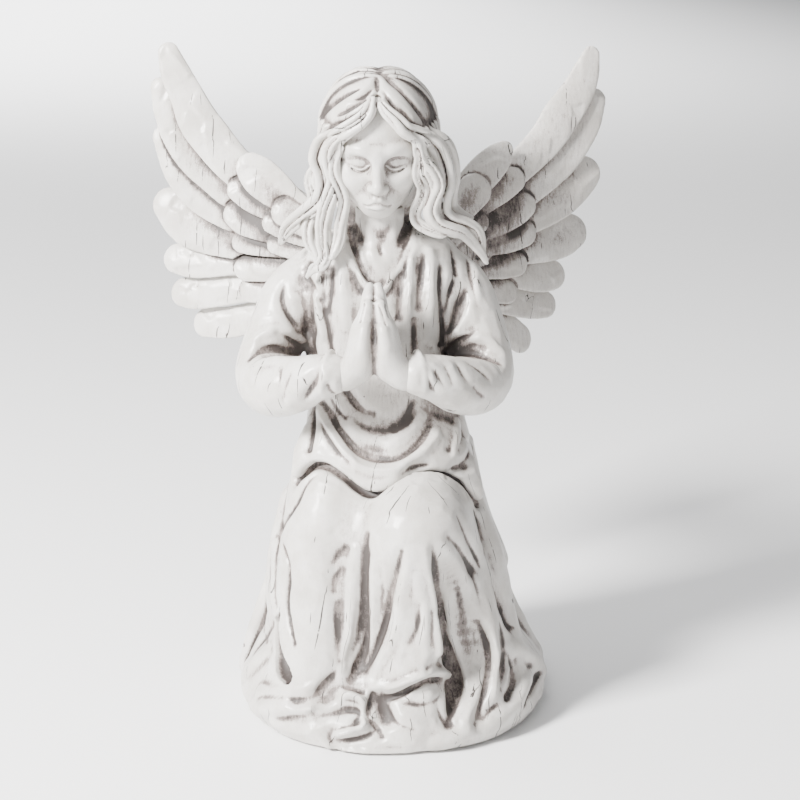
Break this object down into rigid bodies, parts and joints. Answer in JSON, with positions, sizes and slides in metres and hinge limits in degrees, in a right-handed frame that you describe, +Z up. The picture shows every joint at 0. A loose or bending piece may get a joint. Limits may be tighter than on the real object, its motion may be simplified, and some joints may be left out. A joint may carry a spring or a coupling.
{
  "type": "angel figurine",
  "caption": "Kneeling praying angel statuette in ivory resin: long wavy hair, feathered wings swept back, robe spreading into a wide puddled hem with a felt underside.",
  "frame": {"origin": "on the felt underside, under the middle of the figure's waist, where the statuette rests on a table", "axes": "+Z up, the figure faces -Y, its left side is on +X"},
  "size_m": [0.2705, 0.1968, 0.3732],
  "materials": {
    "resin": "satin",
    "steel": "satin",
    "felt": "matte"
  },
  "bodies": {
    "root": {"skirt_casting": "resin", "torso_casting": "resin", "head_casting": "resin", "hair_casting": "resin", "left_arm_casting": "resin", "right_arm_casting": "resin", "praying_hands_casting": "resin", "left_wing_casting": "resin", "right_wing_casting": "resin", "waist_dowels": "steel", "neck_dowel": "steel", "shoulder_dowels": "steel", "wrist_dowels": "steel", "wing_dowels": "steel", "closing_plate": "resin", "felt_base": "felt"}
  },
  "joints": []
}
